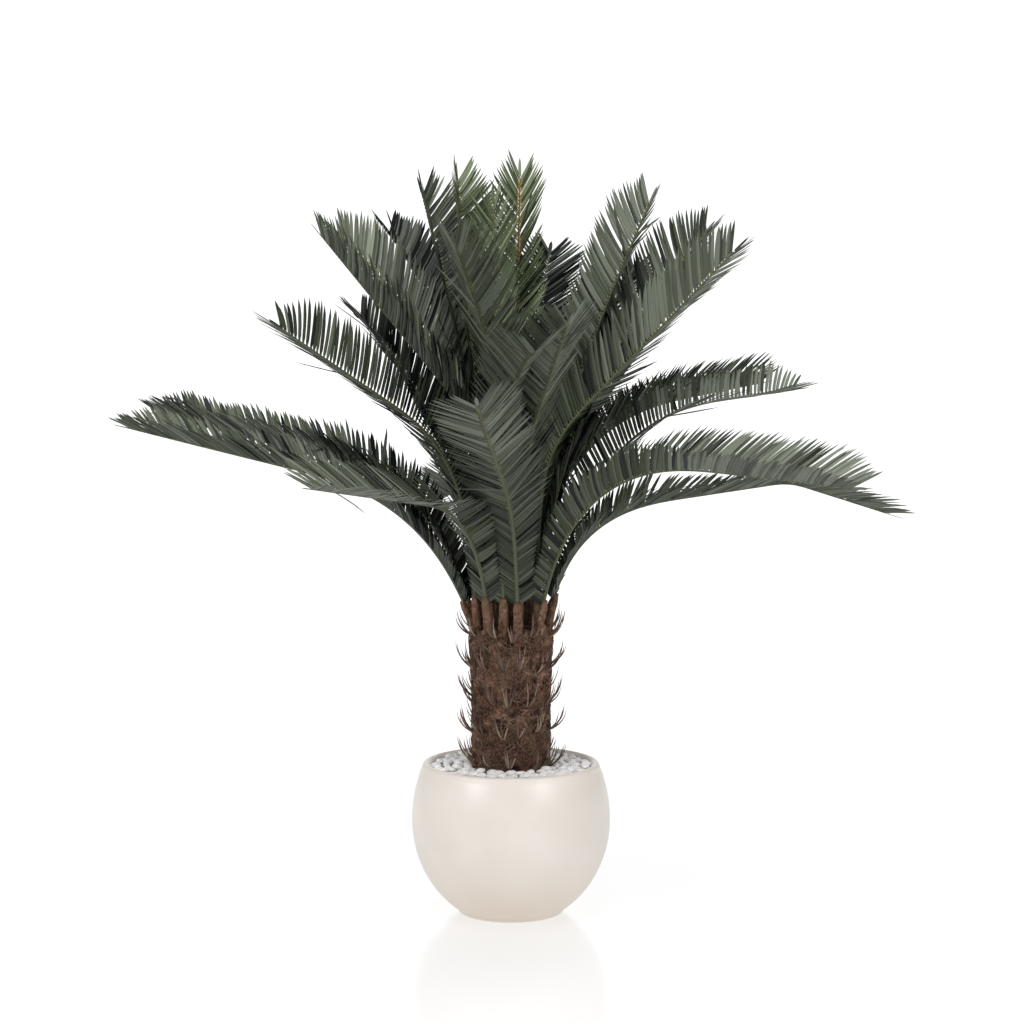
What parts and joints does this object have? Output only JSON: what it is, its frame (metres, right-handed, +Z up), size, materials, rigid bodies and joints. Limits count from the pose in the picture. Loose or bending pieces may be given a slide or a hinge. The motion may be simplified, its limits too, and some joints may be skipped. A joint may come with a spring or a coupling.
{
  "type": "potted artificial sago palm",
  "caption": "Artificial sago palm with a coir-wrapped trunk and a crown of feathery fronds, in a round bowl pot topped with pebbles; stands on the floor as decoration.",
  "frame": {"origin": "centre of the pot's flat underside", "axes": "+Z up along the trunk, +X to the right and +Y to the back as seen from the front"},
  "size_m": [1.2589, 1.2536, 1.1914],
  "materials": {
    "pot": "satin",
    "filling": "matte",
    "pebbles": "matte",
    "coir": "matte",
    "fronds": "satin"
  },
  "bodies": {
    "root": {"pot": "pot", "pot_filling": "filling", "pebbles": "pebbles", "trunk": "coir", "frond_high_back_foot": "fronds", "frond_high_back_tip": "fronds", "frond_high_left_back_foot": "fronds", "frond_high_left_back_tip": "fronds", "frond_high_left_front_foot": "fronds", "frond_high_left_front_tip": "fronds", "frond_high_right_back_foot": "fronds", "frond_high_right_back_tip": "fronds", "frond_high_right_front_foot": "fronds", "frond_high_right_front_tip": "fronds", "frond_low_back_foot": "fronds", "frond_low_back_left_foot": "fronds", "frond_low_back_left_tip": "fronds", "frond_low_back_right_foot": "fronds", "frond_low_back_right_tip": "fronds", "frond_low_back_tip": "fronds", "frond_low_front_foot": "fronds", "frond_low_front_left_foot": "fronds", "frond_low_front_left_tip": "fronds", "frond_low_front_right_foot": "fronds", "frond_low_front_right_tip": "fronds", "frond_low_front_tip": "fronds", "frond_low_left_back_foot": "fronds", "frond_low_left_back_tip": "fronds", "frond_low_left_foot": "fronds", "frond_low_left_tip": "fronds", "frond_low_right_foot": "fronds", "frond_low_right_tip": "fronds", "frond_mid_back_foot": "fronds", "frond_mid_back_tip": "fronds", "frond_mid_front_foot": "fronds", "frond_mid_front_tip": "fronds", "frond_mid_left_back_foot": "fronds", "frond_mid_left_back_tip": "fronds", "frond_mid_left_front_foot": "fronds", "frond_mid_left_front_tip": "fronds", "frond_mid_right_back_foot": "fronds", "frond_mid_right_back_tip": "fronds", "frond_mid_right_foot": "fronds", "frond_mid_right_tip": "fronds", "frond_top_centre": "fronds", "frond_top_front": "fronds", "frond_top_left": "fronds", "frond_top_right": "fronds", "frond_upright_back_foot": "fronds", "frond_upright_back_left": "fronds", "frond_upright_back_right_foot": "fronds", "frond_upright_back_right_tip": "fronds", "frond_upright_back_tip": "fronds", "frond_upright_front_left_foot": "fronds", "frond_upright_front_left_tip": "fronds", "frond_upright_front_right_foot": "fronds", "frond_upright_front_right_tip": "fronds"}
  },
  "joints": []
}
